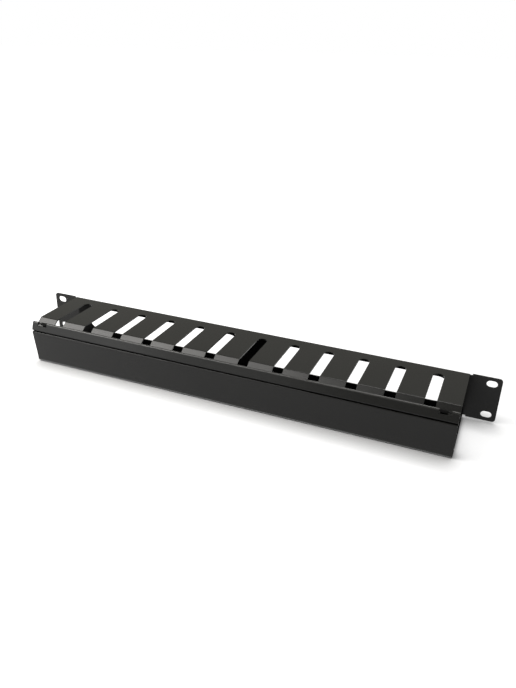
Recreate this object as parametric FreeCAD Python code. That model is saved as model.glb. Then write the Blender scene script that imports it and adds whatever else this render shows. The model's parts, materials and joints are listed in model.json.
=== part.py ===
import FreeCAD, Part
import math
import os

# Horizontal cable manager, one rack unit high: a folded steel finger duct on rack ears, closed by
# a folded cover that swings up on two short pins.
# X runs along the rack panel, Y points back into the rack, Z is up, all in millimetres.
# The origin is the middle of the four rack holes, on the back face of the ears (Y = 0).

# Rack panel
panel_width = 482.6
panel_height = 44.4
ear_width = 28.8           # each side of the duct
ear_corner_radius = 3.0
rack_hole_inset_x = 8.75   # hole centre from the panel's end
rack_hole_inset_z = 6.325  # hole centre from the panel's top or bottom edge
rack_hole_width = 6.6
rack_hole_length = 9.6

# Duct body, folded from one sheet with its ears
body_sheet = 1.2
body_bend = 0.8            # inside radius of every fold
duct_depth = 62.0          # mounting face to the fold where the lips begin
lip_angle = 37.0           # how far each lip turns in from its flange, in degrees
lip_length = 11.8
relief_width = 2.4         # bend relief between flange and ear
relief_depth = 1.3

# Finger slots, the same in the top and bottom flanges
slot_count = 12
slot_width = 10.0
end_finger_width = 20.5    # outermost finger, from its slot to the duct's open end
slot_setback = 13.0        # mounting face to the round end
finger_tip_radius = 2.0

# Cable ports through the back wall
port_height = 26.5
port_bridge = 25.0         # wall left between the two ports
port_end_wall = 14.0       # wall left at each open end

# Hinge of the cover
pin_diameter = 1.6
pin_length = 24.0
pin_end_chamfer = 0.2
pin_running_gap = 0.05     # around the pin, inside the cover's barrel
hinge_reach = 11.8         # hinge axis, forward of the lip fold
hinge_drop = 1.65          # hinge axis, below the top of the panel
leaf_sheet = 0.8
leaf_inner_gap = 0.9       # knuckle to the side of its notch nearer the middle
leaf_outer_gap = 3.4       # knuckle to the other side of its notch
leaf_weld_length = 8.5     # part of the leaf that lies under the lip
curl_seam = 0.2            # left open where a barrel or knuckle closes on its own sheet

# Cover, folded from one sheet
cover_sheet = 0.8
strip_lean = 19.0          # upper strip, leaning back at the top, in degrees
face_lean = 7.0            # face, leaning back at the bottom, in degrees
groove_drop = 7.8          # hinge axis to the middle of the stiffening groove
groove_opening = 1.2
groove_depth = 2.4
groove_bend = 0.15         # inside radius of the groove's folds
cover_bottom_bend = 2.7
cover_under_gap = 0.6      # between the return and the bottom flange
return_depth = 13.0
notch_inset = 6.4          # cover end to the notch for the knuckle
notch_width = 10.5
notch_depth = 3.5

# Worked out from the above
half_height = panel_height / 2
half_body = panel_width / 2 - ear_width
slot_pitch = (2 * half_body - 2 * end_finger_width - slot_width) / (slot_count - 1)
rack_hole_x = panel_width / 2 - rack_hole_inset_x
rack_hole_z = half_height - rack_hole_inset_z
body_outer_bend = body_bend + body_sheet
lip_cos = math.cos(math.radians(lip_angle))
lip_sin = math.sin(math.radians(lip_angle))
lip_tip_y = -duct_depth - lip_length * lip_cos
hinge_y = -duct_depth - hinge_reach
hinge_z = half_height - hinge_drop
barrel_bore = pin_diameter / 2 + pin_running_gap
barrel_outer = barrel_bore + cover_sheet
notch_centre = half_body - notch_inset - notch_width / 2
cut_margin = 1.0           # how far a cutting shape runs past the sheet


def vec(x, y, z):
    return FreeCAD.Vector(x, y, z)


def polar(centre, radius, degrees):
    """A point of the section plane (y, z) on a circle."""
    turn = math.radians(degrees)
    return (centre[0] + radius * math.cos(turn), centre[1] + radius * math.sin(turn))


def folded_run(corners, radii):
    """Mid-surface line of a folded strip: straight flats joined by tangent bends.

    corners are the (y, z) points where the flats would cross, radii the mid-surface bend radius
    at each inner corner. Returns segments ("flat", start, end) or ("bend", centre, radius, a, b).
    """
    segments = []
    start = corners[0]
    for index, radius in enumerate(radii, start=1):
        before, corner, after = corners[index - 1], corners[index], corners[index + 1]
        heading_in = math.atan2(corner[1] - before[1], corner[0] - before[0])
        heading_out = math.atan2(after[1] - corner[1], after[0] - corner[0])
        turn = (heading_out - heading_in + math.pi) % (2 * math.pi) - math.pi
        setback = radius * math.tan(abs(turn) / 2)
        side = math.copysign(1.0, turn)
        tangent = (corner[0] - setback * math.cos(heading_in), corner[1] - setback * math.sin(heading_in))
        centre = polar(tangent, radius, math.degrees(heading_in) + 90 * side)
        segments.append(("flat", start, tangent))
        first = math.degrees(heading_in) - 90 * side
        segments.append(("bend", centre, radius, first, first + math.degrees(turn)))
        start = (corner[0] + setback * math.cos(heading_out), corner[1] + setback * math.sin(heading_out))
    segments.append(("flat", start, corners[-1]))
    return segments


def offset_segment(segment, distance):
    """The same segment moved to its left (looking along it) by a distance."""
    if segment[0] == "flat":
        (ay, az), (by, bz) = segment[1], segment[2]
        length = math.hypot(by - ay, bz - az)
        shift_y = -(bz - az) / length * distance
        shift_z = (by - ay) / length * distance
        return ("flat", (ay + shift_y, az + shift_z), (by + shift_y, bz + shift_z))
    kind, centre, radius, first, last = segment
    side = math.copysign(1.0, last - first)
    return (kind, centre, radius - side * distance, first, last)


def segment_ends(segment):
    if segment[0] == "flat":
        return segment[1], segment[2]
    kind, centre, radius, first, last = segment
    return polar(centre, radius, first), polar(centre, radius, last)


def segment_edge(segment, x):
    start, end = segment_ends(segment)
    if segment[0] == "flat":
        return Part.makeLine(vec(x, *start), vec(x, *end))
    kind, centre, radius, first, last = segment
    middle = polar(centre, radius, (first + last) / 2)
    return Part.Arc(vec(x, *start), vec(x, *middle), vec(x, *end)).toShape()


def folded_sheet(segments, thickness, x_from, x_to):
    """Solid sheet of one thickness that follows a section line, between two X planes."""
    left = [offset_segment(segment, thickness / 2) for segment in segments]
    right = [offset_segment(segment, -thickness / 2) for segment in segments]
    edges = [segment_edge(segment, x_from) for segment in left]
    edges.append(Part.makeLine(vec(x_from, *segment_ends(left[-1])[1]), vec(x_from, *segment_ends(right[-1])[1])))
    edges += [segment_edge(segment, x_from) for segment in reversed(right)]
    edges.append(Part.makeLine(vec(x_from, *segment_ends(right[0])[0]), vec(x_from, *segment_ends(left[0])[0])))
    outline = Part.Wire(Part.__sortEdges__(edges))
    return Part.Face(outline).extrude(vec(x_to - x_from, 0, 0))


def box_between(low, high):
    return Part.makeBox(high[0] - low[0], high[1] - low[1], high[2] - low[2], vec(*low))


def oblong_along_y(centre_x, centre_z, length, height, y_from, y_to):
    """Prism with round ends, long side along X, running along Y."""
    radius = height / 2
    reach = length / 2 - radius
    top, bottom = centre_z + radius, centre_z - radius
    left, right = centre_x - reach, centre_x + reach
    edges = [
        Part.makeLine(vec(left, y_from, top), vec(right, y_from, top)),
        Part.Arc(vec(right, y_from, top), vec(right + radius, y_from, centre_z),
                 vec(right, y_from, bottom)).toShape(),
        Part.makeLine(vec(right, y_from, bottom), vec(left, y_from, bottom)),
        Part.Arc(vec(left, y_from, bottom), vec(left - radius, y_from, centre_z),
                 vec(left, y_from, top)).toShape(),
    ]
    return Part.Face(Part.Wire(edges)).extrude(vec(0, y_to - y_from, 0))


def finger_slot(centre_x, z_from, z_to):
    """Cut for one slot: round at the back, open at the tips, flared by the rounded finger corners."""
    radius = slot_width / 2
    corner = finger_tip_radius
    back = -slot_setback
    tip = lip_tip_y
    flare = math.sqrt(0.5) * corner
    points = {
        "right_back": vec(centre_x + radius, back - radius, z_from),
        "round_end": vec(centre_x, back, z_from),
        "left_back": vec(centre_x - radius, back - radius, z_from),
        "left_corner": vec(centre_x - radius, tip + corner, z_from),
        "left_flare": vec(centre_x - radius - corner + flare, tip + corner - flare, z_from),
        "left_tip": vec(centre_x - radius - corner, tip, z_from),
        "left_out": vec(centre_x - radius - corner, tip - cut_margin, z_from),
        "right_out": vec(centre_x + radius + corner, tip - cut_margin, z_from),
        "right_tip": vec(centre_x + radius + corner, tip, z_from),
        "right_flare": vec(centre_x + radius + corner - flare, tip + corner - flare, z_from),
        "right_corner": vec(centre_x + radius, tip + corner, z_from),
    }
    edges = [
        Part.Arc(points["right_back"], points["round_end"], points["left_back"]).toShape(),
        Part.makeLine(points["left_back"], points["left_corner"]),
        Part.Arc(points["left_corner"], points["left_flare"], points["left_tip"]).toShape(),
        Part.makeLine(points["left_tip"], points["left_out"]),
        Part.makeLine(points["left_out"], points["right_out"]),
        Part.makeLine(points["right_out"], points["right_tip"]),
        Part.Arc(points["right_tip"], points["right_flare"], points["right_corner"]).toShape(),
        Part.makeLine(points["right_corner"], points["right_back"]),
    ]
    return Part.Face(Part.Wire(edges)).extrude(vec(0, 0, z_to - z_from))


def body_section():
    """Back wall, flanges and lips as one line, from the top lip's tip to the bottom lip's tip."""
    wall_y = -body_sheet / 2
    flange_z = half_height - body_sheet / 2
    lip_drop = lip_length * lip_sin
    corners = [
        (lip_tip_y, flange_z - lip_drop),
        (-duct_depth, flange_z),
        (wall_y, flange_z),
        (wall_y, -flange_z),
        (-duct_depth, -flange_z),
        (lip_tip_y, -flange_z + lip_drop),
    ]
    return folded_run(corners, [body_bend + body_sheet / 2] * 4)


def rack_ear(side):
    """Flat ear with two oblong rack holes, rounded at its outer corners. side is +1 or -1."""
    inner, outer = half_body, panel_width / 2
    ear = box_between((inner, -body_sheet, -half_height), (outer, 0, half_height))
    corners = [edge for edge in ear.Edges
               if abs(edge.CenterOfMass.x - outer) < 1e-6 and abs(edge.CenterOfMass.y + body_sheet / 2) < 1e-6]
    ear = ear.makeFillet(ear_corner_radius, corners)
    for end in (1, -1):
        step = box_between((inner, -body_sheet - cut_margin, half_height - relief_depth),
                           (inner + relief_width, cut_margin, half_height + cut_margin))
        if end < 0:
            step = step.mirror(vec(0, 0, 0), vec(0, 0, 1))
        hole = oblong_along_y(rack_hole_x, end * rack_hole_z, rack_hole_length, rack_hole_width,
                              -body_sheet - cut_margin, cut_margin)
        ear = ear.cut(step).cut(hole)
    if side < 0:
        ear = ear.mirror(vec(0, 0, 0), vec(1, 0, 0))
    return ear


def make_duct_body():
    body = folded_sheet(body_section(), body_sheet, -half_body, half_body)
    body = body.fuse([rack_ear(1), rack_ear(-1)]).removeSplitter()
    cuts = []
    first_slot = -slot_pitch * (slot_count - 1) / 2
    for index in range(slot_count):
        slot = finger_slot(first_slot + index * slot_pitch, 0, half_height + cut_margin)
        cuts += [slot, slot.mirror(vec(0, 0, 0), vec(0, 0, 1))]
    port_length = half_body - port_end_wall - port_bridge / 2
    port_centre = port_bridge / 2 + port_length / 2
    for side in (1, -1):
        cuts.append(oblong_along_y(side * port_centre, 0, port_length, port_height,
                                   -body_sheet - cut_margin, cut_margin))
    return body.cut(cuts)


def curl_wrap(bore, thickness):
    """How far a sheet can curl round the pin before its edge comes within the seam, in degrees."""
    return 360 - math.degrees(math.acos((bore - curl_seam) / (bore + thickness)))


def curl(bore, thickness, start, wrap):
    """Sheet curled round the hinge axis, from a start angle through a wrap angle, in degrees."""
    return ("bend", (hinge_y, hinge_z), bore + thickness / 2, start, start + wrap)


def make_cover():
    """Barrel, upper strip, groove, face, bottom bend and return, in that order down the section."""
    strip_start = 180 - strip_lean
    wrap = curl_wrap(barrel_bore, cover_sheet)
    barrel = curl(barrel_bore, cover_sheet, strip_start - wrap, wrap)
    strip_top = segment_ends(barrel)[1]
    strip_tan = math.tan(math.radians(strip_lean))
    face_tan = math.tan(math.radians(face_lean))
    groove_half = (groove_opening + cover_sheet) / 2
    groove_z = hinge_z - groove_drop
    groove_top = (strip_top[0] - (strip_top[1] - groove_z - groove_half) * strip_tan, groove_z + groove_half)
    groove_bottom = (groove_top[0], groove_z - groove_half)
    return_z = -half_height - cover_under_gap - cover_sheet / 2
    face_bottom = (groove_bottom[0] + (groove_bottom[1] - return_z) * face_tan, return_z)
    corners = [
        strip_top,
        groove_top,
        (groove_top[0] + groove_depth, groove_top[1]),
        (groove_bottom[0] + groove_depth, groove_bottom[1]),
        groove_bottom,
        face_bottom,
        (face_bottom[0] + return_depth, return_z),
    ]
    radii = [groove_bend + cover_sheet / 2] * 4 + [cover_bottom_bend + cover_sheet / 2]
    cover = folded_sheet([barrel] + folded_run(corners, radii), cover_sheet, -half_body, half_body)
    notches = []
    barrel_top = hinge_z + barrel_outer
    for side in (1, -1):
        notches.append(box_between(
            (side * notch_centre - notch_width / 2, hinge_y - 2 * barrel_outer, barrel_top - notch_depth),
            (side * notch_centre + notch_width / 2, hinge_y + 2 * barrel_outer, barrel_top + cut_margin)))
    return cover.cut(notches)


def make_hinge_leaf(side):
    """Leaf spot-welded under the end finger's lip, turned up behind the strip and curled round the pin."""
    leaf_radius = pin_diameter / 2 + leaf_sheet / 2
    knuckle = curl(pin_diameter / 2, leaf_sheet, 0, curl_wrap(pin_diameter / 2, leaf_sheet))
    riser_y = hinge_y + leaf_radius
    below_lip = (body_sheet + leaf_sheet) / 2 / lip_cos
    flange_z = half_height - body_sheet / 2
    lip_tan = lip_sin / lip_cos
    elbow = (riser_y, flange_z - (-duct_depth - riser_y) * lip_tan - below_lip)
    weld_y = lip_tip_y + leaf_weld_length * lip_cos
    weld_end = (weld_y, flange_z - (-duct_depth - weld_y) * lip_tan - below_lip)
    rise = folded_run([weld_end, elbow, (riser_y, hinge_z)], [leaf_sheet])
    inner_side = side * (notch_centre - notch_width / 2 + leaf_inner_gap)
    outer_side = side * (notch_centre + notch_width / 2 - leaf_outer_gap)
    return folded_sheet(rise + [knuckle], leaf_sheet, min(inner_side, outer_side), max(inner_side, outer_side))


def make_hinge_pin(side):
    """Plain pin from the cover's end, through barrel and knuckle, chamfered at both ends."""
    outer_end = half_body
    pin = Part.makeCylinder(pin_diameter / 2, pin_length, vec(outer_end - pin_length, hinge_y, hinge_z),
                            vec(1, 0, 0))
    rims = [edge for edge in pin.Edges if isinstance(edge.Curve, Part.Circle)]
    pin = pin.makeChamfer(pin_end_chamfer, rims)
    if side < 0:
        pin = pin.mirror(vec(0, 0, 0), vec(1, 0, 0))
    return pin


nodes = {
    "duct_body": make_duct_body(),
    "cover": make_cover(),
    "hinge_leaf_right": make_hinge_leaf(1),
    "hinge_leaf_left": make_hinge_leaf(-1),
    "hinge_pin_right": make_hinge_pin(1),
    "hinge_pin_left": make_hinge_pin(-1),
}

os.makedirs("parts", exist_ok=True)
for name, shape in nodes.items():
    bounds = shape.BoundBox
    print(name, "solids", len(shape.Solids), "valid", shape.isValid(), "volume", round(shape.Volume, 1),
          "x", round(bounds.XMin, 2), round(bounds.XMax, 2), "y", round(bounds.YMin, 2), round(bounds.YMax, 2),
          "z", round(bounds.ZMin, 2), round(bounds.ZMax, 2))
    shape.exportStep(os.path.join("parts", name + ".step"))
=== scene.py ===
import bpy
import json
import math
from mathutils import Matrix, Vector


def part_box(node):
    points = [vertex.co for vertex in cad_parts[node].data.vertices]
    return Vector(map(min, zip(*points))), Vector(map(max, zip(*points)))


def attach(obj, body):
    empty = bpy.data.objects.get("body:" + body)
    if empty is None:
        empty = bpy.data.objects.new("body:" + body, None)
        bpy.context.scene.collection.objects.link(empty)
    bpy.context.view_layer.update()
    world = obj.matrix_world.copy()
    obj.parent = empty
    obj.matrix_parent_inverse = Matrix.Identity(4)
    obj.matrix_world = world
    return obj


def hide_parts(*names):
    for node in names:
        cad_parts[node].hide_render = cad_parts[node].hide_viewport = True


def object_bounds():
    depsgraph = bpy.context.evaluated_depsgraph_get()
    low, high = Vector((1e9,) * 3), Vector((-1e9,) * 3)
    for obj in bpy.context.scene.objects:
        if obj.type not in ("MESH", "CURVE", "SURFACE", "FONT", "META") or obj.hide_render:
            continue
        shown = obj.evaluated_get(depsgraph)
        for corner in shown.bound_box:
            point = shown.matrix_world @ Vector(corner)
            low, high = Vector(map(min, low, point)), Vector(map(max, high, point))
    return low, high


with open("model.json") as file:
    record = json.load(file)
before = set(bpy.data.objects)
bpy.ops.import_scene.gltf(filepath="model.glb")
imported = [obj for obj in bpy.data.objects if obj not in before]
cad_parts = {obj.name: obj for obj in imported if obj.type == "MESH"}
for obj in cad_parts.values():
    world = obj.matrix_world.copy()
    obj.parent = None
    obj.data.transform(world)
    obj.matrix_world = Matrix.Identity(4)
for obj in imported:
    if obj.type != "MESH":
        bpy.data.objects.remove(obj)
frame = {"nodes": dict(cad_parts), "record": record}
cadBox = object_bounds()
nodes = frame["nodes"]
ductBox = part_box("duct_body")
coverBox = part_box("cover")
hingeAxis = Vector(frame["record"]["behaviour"]["joints"][0]["pos_m"])
print("cable manager frame loaded")

# The camera stands above the front edge, off towards the right ear.
cameraPlace = {
    "at": (0.22338, -0.55309, 0.29989),
    "right": (0.9257, 0.3775, 0.0250),
    "down": (0.1871, -0.3994, -0.8975),
    "lens": 34.07,          # lens and sensor in mm
    "sensor": 36.0,
    "nearest": 0.01,        # metres
}


def placeCamera(settings):
    data = bpy.data.cameras.new("camera")
    camera = bpy.data.objects.new("camera", data)
    bpy.context.scene.collection.objects.link(camera)
    data.lens = settings["lens"]
    data.sensor_width = settings["sensor"]
    data.clip_start = settings["nearest"]
    right = Vector(settings["right"]).normalized()
    down = Vector(settings["down"])
    down = (down - down.dot(right) * right).normalized()
    back = right.cross(-down)
    turn = Matrix((right, -down, back)).transposed()
    camera.matrix_world = Matrix.Translation(settings["at"]) @ turn.to_4x4()
    bpy.context.scene.camera = camera


placeCamera(cameraPlace)
bpy.context.scene.view_settings.view_transform = "Standard"
print("camera placed")

# Sockets of a Mix node that mixes colours.
colourMix = {"factor": 0, "first": 6, "second": 7, "result": 2}


def feed(tree, value, socket):
    # A number goes on the socket itself, and an output is linked to it.
    if isinstance(value, (int, float)):
        socket.default_value = value
    else:
        tree.links.new(value, socket)


def addMath(tree, operation, first, second, clamp=False):
    node = tree.nodes.new("ShaderNodeMath")
    node.operation = operation
    node.use_clamp = clamp
    feed(tree, first, node.inputs[0])
    feed(tree, second, node.inputs[1])
    return node.outputs[0]


def addRange(tree, value, source, target=(0.0, 1.0)):
    # The value's place in the source range becomes the same place in the target range.
    node = tree.nodes.new("ShaderNodeMapRange")
    feed(tree, value, node.inputs["Value"])
    feed(tree, source[0], node.inputs["From Min"])
    feed(tree, source[1], node.inputs["From Max"])
    feed(tree, target[0], node.inputs["To Min"])
    feed(tree, target[1], node.inputs["To Max"])
    return node.outputs["Result"]


def addColourMix(tree, factor, first, second):
    node = tree.nodes.new("ShaderNodeMix")
    node.data_type = "RGBA"
    node.inputs[colourMix["first"]].default_value = first
    node.inputs[colourMix["second"]].default_value = second
    tree.links.new(factor, node.inputs[colourMix["factor"]])
    return node.outputs[colourMix["result"]]


def addNoise(tree, place, scale, detail):
    node = tree.nodes.new("ShaderNodeTexNoise")
    node.inputs["Scale"].default_value = scale
    node.inputs["Detail"].default_value = detail
    tree.links.new(place, node.inputs["Vector"])
    return node.outputs["Fac"]


def addShowing(tree, lighting, showing, out):
    # Camera, glossy and transmission rays show one shader, and the other one lights the object.
    rays = tree.nodes.new("ShaderNodeLightPath")
    direct = addMath(tree, "MAXIMUM", rays.outputs["Is Camera Ray"], rays.outputs["Is Glossy Ray"])
    every = addMath(tree, "MAXIMUM", direct, rays.outputs["Is Transmission Ray"])
    pick = tree.nodes.new("ShaderNodeMixShader")
    tree.links.new(every, pick.inputs[0])
    tree.links.new(lighting, pick.inputs[1])
    tree.links.new(showing, pick.inputs[2])
    tree.links.new(pick.outputs[0], out.inputs[0])


# White paper floor. Where it shows it glows, evenly white far off, with a painted shade to the
# duct's right and a painted contact shadow where the duct rests.
paperFloor = {
    "radius": 9.0,
    "sides": 96,
    "colour": (0.80, 0.80, 0.80, 1),    # what lights the object
    "shown": (0.34, 0.34, 0.34, 1),     # what shows, and takes the shadow
    "glowLeft": 1.0,
    "glowRight": 0.80,
    "glowFar": 1.0,
    "paintedSideShadeReach": 0.35,      # metres each way over which the glow turns from the left's to the right's, the painted shade
    "nearTo": 0.30,         # metres from the duct's middle
    "farFrom": 1.60,
    "contact": 0.027,       # metres over which the painted contact shadow where the duct rests fades out
    "contactDepth": 2.0,    # higher is darker
    "contactSamples": 16,
}


def paperMaterial(settings):
    paper = bpy.data.materials.new("whitePaper")
    paper.use_nodes = True
    tree = paper.node_tree
    tree.nodes.clear()
    out = tree.nodes.new("ShaderNodeOutputMaterial")
    lit = tree.nodes.new("ShaderNodeBsdfDiffuse")
    lit.inputs["Color"].default_value = settings["colour"]
    shown = tree.nodes.new("ShaderNodeBsdfDiffuse")
    shown.inputs["Color"].default_value = settings["shown"]
    glow = tree.nodes.new("ShaderNodeEmission")
    both = tree.nodes.new("ShaderNodeAddShader")
    place = tree.nodes.new("ShaderNodeTexCoord")
    reach = tree.nodes.new("ShaderNodeVectorMath")
    reach.operation = "LENGTH"
    tree.links.new(place.outputs["Object"], reach.inputs[0])
    across = tree.nodes.new("ShaderNodeSeparateXYZ")
    tree.links.new(place.outputs["Object"], across.inputs[0])
    # Painted shade: the floor's glow is lower to the duct's right, for camera and glossy rays.
    paintedSideShade = addRange(tree, across.outputs["X"], (-settings["paintedSideShadeReach"], settings["paintedSideShadeReach"]),
                    (settings["glowLeft"], settings["glowRight"]))
    fade = addRange(tree, reach.outputs["Value"], (settings["nearTo"], settings["farFrom"]),
                    (paintedSideShade, settings["glowFar"]))
    # Painted contact shadow: ambient occlusion dims the floor's glow where the duct rests, for
    # camera rays only.
    near = tree.nodes.new("ShaderNodeAmbientOcclusion")
    near.samples = settings["contactSamples"]
    near.inputs["Distance"].default_value = settings["contact"]
    paintedContactShadow = addMath(tree, "POWER", near.outputs["AO"], settings["contactDepth"])
    rays = tree.nodes.new("ShaderNodeLightPath")
    mirrored = addMath(tree, "SUBTRACT", 1.0, rays.outputs["Is Camera Ray"])
    contactShadowSeen = addMath(tree, "MAXIMUM", paintedContactShadow, mirrored)
    tree.links.new(addMath(tree, "MULTIPLY", fade, contactShadowSeen), glow.inputs["Strength"])
    tree.links.new(shown.outputs[0], both.inputs[0])
    tree.links.new(glow.outputs[0], both.inputs[1])
    addShowing(tree, lit.outputs[0], both.outputs[0], out)
    return paper


def makeFloor(settings):
    bpy.ops.object.select_all(action="DESELECT")
    bpy.ops.mesh.primitive_circle_add(vertices=settings["sides"], radius=settings["radius"],
                                      fill_type="NGON", location=(0, 0, cadBox[0][2]))
    floor = bpy.context.active_object
    floor.name = "paperFloor"
    bpy.ops.object.transform_apply(location=True, rotation=True, scale=True)
    floor.data.materials.append(paperMaterial(settings))


makeFloor(paperFloor)
print("floor laid")

studioAir = {
    "soft": (0.05, 0.05, 0.05, 1),          # light from all round
    "white": (1, 1, 1, 1),                  # the white that is seen behind the floor
    "ceiling": (0.52, 0.515, 0.465, 1),     # what a gloss mirrors from higher up
    "whiteBelow": 0.0,                      # both as the sine of a height
    "ceilingAbove": 0.12,
}


def makeWorld(settings):
    world = bpy.data.worlds.new("studioAir")
    bpy.context.scene.world = world
    world.use_nodes = True
    tree = world.node_tree
    tree.nodes.clear()
    out = tree.nodes.new("ShaderNodeOutputWorld")
    soft = tree.nodes.new("ShaderNodeBackground")
    soft.inputs["Color"].default_value = settings["soft"]
    room = tree.nodes.new("ShaderNodeBackground")
    place = tree.nodes.new("ShaderNodeTexCoord")
    split = tree.nodes.new("ShaderNodeSeparateXYZ")
    tree.links.new(place.outputs["Object"], split.inputs[0])
    rise = addRange(tree, split.outputs["Z"], (settings["whiteBelow"], settings["ceilingAbove"]))
    rays = tree.nodes.new("ShaderNodeLightPath")
    mirrored = addMath(tree, "SUBTRACT", rise, rays.outputs["Is Camera Ray"], clamp=True)
    tone = addColourMix(tree, mirrored, settings["white"], settings["ceiling"])
    tree.links.new(tone, room.inputs["Color"])
    addShowing(tree, soft.outputs[0], room.outputs[0], out)


makeWorld(studioAir)
print("air lit")

# Softboxes: their bearing and height in degrees, distance and side in metres, power in watts.
# Bearings run anticlockwise from the right ear's side, so the front is at 270.
warmLight = (1, 0.979, 0.95)
mildLight = (1, 0.989, 0.97)
whiteLight = (1, 1, 1)
softboxAim = Vector((0, -0.04, 0))
softboxes = {
    "keyLow": {"bearing": 200, "height": 38, "distance": 1.0,
               "side": 0.4, "power": 3.0, "tint": warmLight},
    "keyMiddle": {"bearing": 200, "height": 50, "distance": 1.0,
                  "side": 0.4, "power": 4.5, "tint": warmLight},
    "keyHigh": {"bearing": 220, "height": 62, "distance": 1.0,
                "side": 0.4, "power": 3.4, "tint": warmLight},
    "frontLeft": {"bearing": 225, "height": 8, "distance": 1.3,
                  "side": 0.6, "power": 2.5, "tint": whiteLight},
    "front": {"bearing": 245, "height": 8, "distance": 1.3,
              "side": 0.6, "power": 1.4, "tint": whiteLight},
    "overhead": {"bearing": 236, "height": 73, "distance": 1.0,
                 "side": 0.4, "power": 1.1, "tint": mildLight},
    "behind": {"bearing": 90, "height": 60, "distance": 1.4,
               "side": 0.5, "power": 6.4, "tint": mildLight},
}


def hangSoftbox(name, box):
    lamp = bpy.data.lights.new(name, "AREA")
    lamp.shape = "SQUARE"
    lamp.size = box["side"]
    lamp.energy = box["power"]
    lamp.color = box["tint"]
    holder = bpy.data.objects.new(name, lamp)
    bpy.context.scene.collection.objects.link(holder)
    bearing, height = math.radians(box["bearing"]), math.radians(box["height"])
    level = math.cos(height)
    away = Vector((level * math.cos(bearing), level * math.sin(bearing), math.sin(height)))
    turn = (-away).to_track_quat("-Z", "Y").to_matrix().to_4x4()
    holder.matrix_world = Matrix.Translation(softboxAim + away * box["distance"]) @ turn


for name, box in softboxes.items():
    hangSoftbox(name, box)
print("softboxes hung", len(softboxes))

# Finishes. The coat is a black powder coat with a fine orange peel.
powderCoat = {
    "colour": (0.007, 0.007, 0.0066, 1),
    "paler": (0.011, 0.011, 0.0104, 1),
    "roughLow": 0.22,
    "roughHigh": 0.27,
    "gloss": 0.20,
    "peelScale": 900.0,
    "peelDepth": 0.000012,
    "cloudScale": 14.0,
}

coatEdge = {                # where the coat is thin and rubbed
    "colour": (0.010, 0.010, 0.0097, 1),
    "paler": (0.024, 0.024, 0.0232, 1),
    "roughLow": 0.26,
    "roughHigh": 0.36,
    "gloss": 0.20,
    "peelScale": 900.0,
    "peelDepth": 0.00001,
    "cloudScale": 60.0,
}

coatCurl = {                # on the hinge curl: its paler colour is a painted highlight, and its higher gloss brightens the lamps' own highlight there
    "colour": (0.012, 0.012, 0.0117, 1),
    "paler": (0.024, 0.024, 0.0234, 1),
    "roughLow": 0.20,
    "roughHigh": 0.26,
    "gloss": 0.35,
    "peelScale": 900.0,
    "peelDepth": 0.000006,
    "cloudScale": 40.0,
}

paintedShadeFinish = {              # painted shade: a darker, duller copy of the coat, put inside the channel, in the cover's groove and on the hinge leaves
    "colour": (0.0035, 0.0035, 0.0035, 1),
    "paler": (0.0060, 0.0060, 0.0058, 1),
    "roughLow": 0.46,
    "roughHigh": 0.58,
    "gloss": 0.05,
    "peelScale": 700.0,
    "peelDepth": 0.000016,
    "cloudScale": 22.0,
}

blackenedSteel = {          # the hinge pins
    "colour": (0.004, 0.004, 0.004, 1),
    "paler": (0.009, 0.009, 0.0085, 1),
    "roughLow": 0.36,
    "roughHigh": 0.48,
    "gloss": 0.12,
    "peelScale": 2400.0,
    "peelDepth": 0.000006,
    "cloudScale": 220.0,
}

coatGrain = {               # the same in every finish
    "cloudDetail": 4.0,
    "cloudRange": (0.3, 0.7),   # where the clouds' values mostly lie
    "peelDetail": 2.0,
    "peelStrength": 1.0,
}


def finish(name, coat):
    material = bpy.data.materials.new(name)
    material.use_nodes = True
    tree = material.node_tree
    shader = tree.nodes["Principled BSDF"]
    shader.inputs["Specular IOR Level"].default_value = coat["gloss"]
    place = tree.nodes.new("ShaderNodeTexCoord").outputs["Object"]
    cloud = addNoise(tree, place, coat["cloudScale"], coatGrain["cloudDetail"])
    tint = addColourMix(tree, cloud, coat["colour"], coat["paler"])
    rough = addRange(tree, cloud, coatGrain["cloudRange"], (coat["roughLow"], coat["roughHigh"]))
    peel = addNoise(tree, place, coat["peelScale"], coatGrain["peelDetail"])
    bump = tree.nodes.new("ShaderNodeBump")
    bump.inputs["Strength"].default_value = coatGrain["peelStrength"]
    bump.inputs["Distance"].default_value = coat["peelDepth"]
    tree.links.new(peel, bump.inputs["Height"])
    tree.links.new(tint, shader.inputs["Base Color"])
    tree.links.new(rough, shader.inputs["Roughness"])
    tree.links.new(bump.outputs["Normal"], shader.inputs["Normal"])
    return material


coatFlat = finish("blackPowderCoat", powderCoat)
coatWorn = finish("blackCoatEdges", coatEdge)
# Painted highlight: a paler, glossier coat on the hinge curl.
coatCurlHighlight = finish("blackCoatHingeCurl", coatCurl)
# Painted shade: a darker, duller coat for the channel's inside, the cover's groove and the hinge
# leaves.
coatPaintedShade = finish("blackCoatPaintedShade", paintedShadeFinish)
pinSteel = finish("blackenedPinSteel", blackenedSteel)
print("finishes ready")

# How every piece is cleaned and its edges are eased.
edgeWork = {
    "merge": 0.000001,      # metres
    "flatWithin": 0.3,      # degrees between faces that become one
    "sharpFrom": 40,        # degrees from which an edge is eased
    "steps": 2,
    "largeFaces": 100,      # how far large faces settle the shading
}


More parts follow.
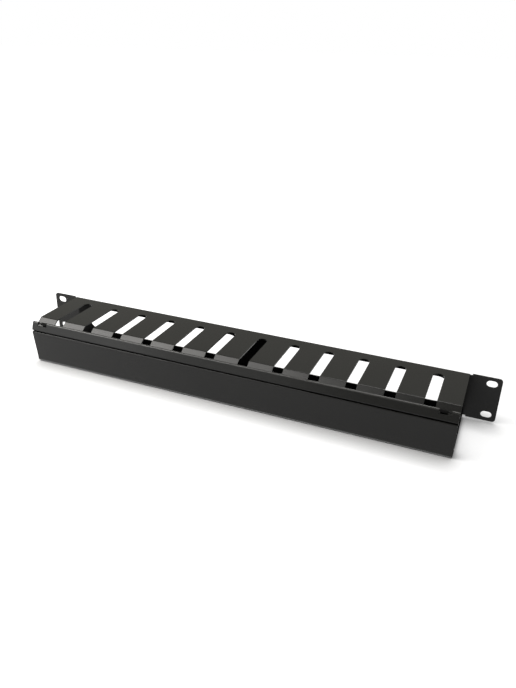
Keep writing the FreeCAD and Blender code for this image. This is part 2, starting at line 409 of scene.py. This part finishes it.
# Every piece is the frame's own solid, merged, with its cut edges eased and its own finish.
def dressedPiece(node, settings):
    finishes = settings["finishes"]
    mesh = nodes[node].data.copy()
    piece = bpy.data.objects.new(settings["name"], mesh)
    bpy.context.scene.collection.objects.link(piece)
    mesh.materials.clear()
    for material in finishes:
        mesh.materials.append(material)
    bpy.ops.object.select_all(action="DESELECT")
    bpy.context.view_layer.objects.active = piece
    piece.select_set(True)
    bpy.ops.object.mode_set(mode="EDIT")
    bpy.ops.mesh.select_all(action="SELECT")
    bpy.ops.mesh.remove_doubles(threshold=edgeWork["merge"])
    bpy.ops.mesh.dissolve_limited(angle_limit=math.radians(edgeWork["flatWithin"]))
    for across in settings.get("cuts", ()):
        bpy.ops.mesh.select_all(action="SELECT")
        bpy.ops.mesh.bisect(plane_co=(across, 0, 0), plane_no=(1, 0, 0))
    bpy.ops.object.mode_set(mode="OBJECT")
    if "finishOf" in settings:
        for face in mesh.polygons:
            face.material_index = finishes.index(settings["finishOf"](face))
    sharp = math.radians(edgeWork["sharpFrom"])
    bevel = piece.modifiers.new("easedEdges", "BEVEL")
    bevel.width = settings["edge"]
    bevel.segments = edgeWork["steps"]
    bevel.limit_method = "ANGLE"
    bevel.angle_limit = sharp
    bevel.material = finishes.index(coatWorn) if coatWorn in finishes else 0
    bpy.ops.object.modifier_apply(modifier="easedEdges")
    bpy.ops.object.shade_smooth_by_angle(angle=sharp)
    flat = piece.modifiers.new("flatFaces", "WEIGHTED_NORMAL")
    flat.keep_sharp = True
    flat.weight = edgeWork["largeFaces"]
    bpy.ops.object.modifier_apply(modifier="flatFaces")
    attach(piece, settings["rides"])
    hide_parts(node)
    print("dressed", settings["name"])


# Where the duct's painted shade lies, in metres in from the sides of the duct's box.
ductShadeZone = {
    "short": 0.001,         # how far short of the duct's open ends it stops
    "sheet": 0.0011,        # a face nearer to the box than this is an outer one
    "wall": 0.004,          # a face further in than this isn't on the back wall
    "lipEdge": 0.0008,      # left out along the lips' front edges
    "facingFront": 0.5,     # least part of a face's normal that points to the front
    "facingMiddle": 0.3,    # least part that points down from a top face or up from a bottom one
}
shadeZoneEnd = coverBox[1].x - ductShadeZone["short"]     # the cover is as long as the duct's channel


def ductFinish(face):
    at, facing = face.center, face.normal
    fromRear = ductBox[1].y - at.y
    fromFront = at.y - ductBox[0].y
    fromOuter = ductBox[1].z - abs(at.z)    # the nearer of top and bottom
    if min(fromRear, fromOuter) < ductShadeZone["sheet"] or abs(at.x) > shadeZoneEnd:
        return coatFlat
    onBackWall = facing.y < -ductShadeZone["facingFront"] and fromRear < ductShadeZone["wall"]
    towardsMiddle = facing.z * at.z < 0 and abs(facing.z) > ductShadeZone["facingMiddle"]
    underFlange = towardsMiddle and fromFront > ductShadeZone["lipEdge"]
    # Faces inside the channel take the painted shade.
    return coatPaintedShade if onBackWall or underFlange else coatFlat


ductBody = {
    "name": "ductBody",
    "edge": 0.00018,
    "rides": "duct",
    "slot": "painted_steel",
    "finishes": (coatFlat, coatWorn, coatPaintedShade),
    "finishOf": ductFinish,
    "cuts": (-shadeZoneEnd, shadeZoneEnd),
}
dressedPiece("duct_body", ductBody)

# Where the cover's painted highlight and painted shade lie, in metres from the hinge axis.
coverPlaces = {
    "curlReach": 0.00185,                   # just outside the curl
    "grooveForward": (0.0016, 0.0034),
    "grooveBelow": (0.00695, 0.00865),
}


def coverFinish(face):
    forward, below = hingeAxis.y - face.center.y, hingeAxis.z - face.center.z
    # The curl's faces take the painted highlight.
    if math.hypot(forward, below) < coverPlaces["curlReach"]:
        return coatCurlHighlight
    back, front = coverPlaces["grooveForward"]
    top, bottom = coverPlaces["grooveBelow"]
    # The groove's faces take the painted shade.
    inGroove = back < forward < front and top < below < bottom
    return coatPaintedShade if inGroove else coatFlat


coverPanel = {
    "name": "coverPanel",
    "edge": 0.00014,
    "rides": "cover",
    "slot": "painted_steel",
    "finishes": (coatFlat, coatWorn, coatCurlHighlight, coatPaintedShade),
    "finishOf": coverFinish,
}
dressedPiece("cover", coverPanel)

for side in ("right", "left"):
    hingeLeaf = {
        "name": "hingeLeaf" + side.capitalize(),
        "edge": 0.00012,
        "rides": "duct",
        "slot": "painted_steel",
        # The leaves take the painted shade all over.
        "finishes": (coatPaintedShade,),
    }
    dressedPiece("hinge_leaf_" + side, hingeLeaf)
    hingePin = {
        "name": "hingePin" + side.capitalize(),
        "edge": 0.00006,
        "rides": "duct",
        "slot": "pin_steel",
        "finishes": (pinSteel,),
    }
    dressedPiece("hinge_pin_" + side, hingePin)
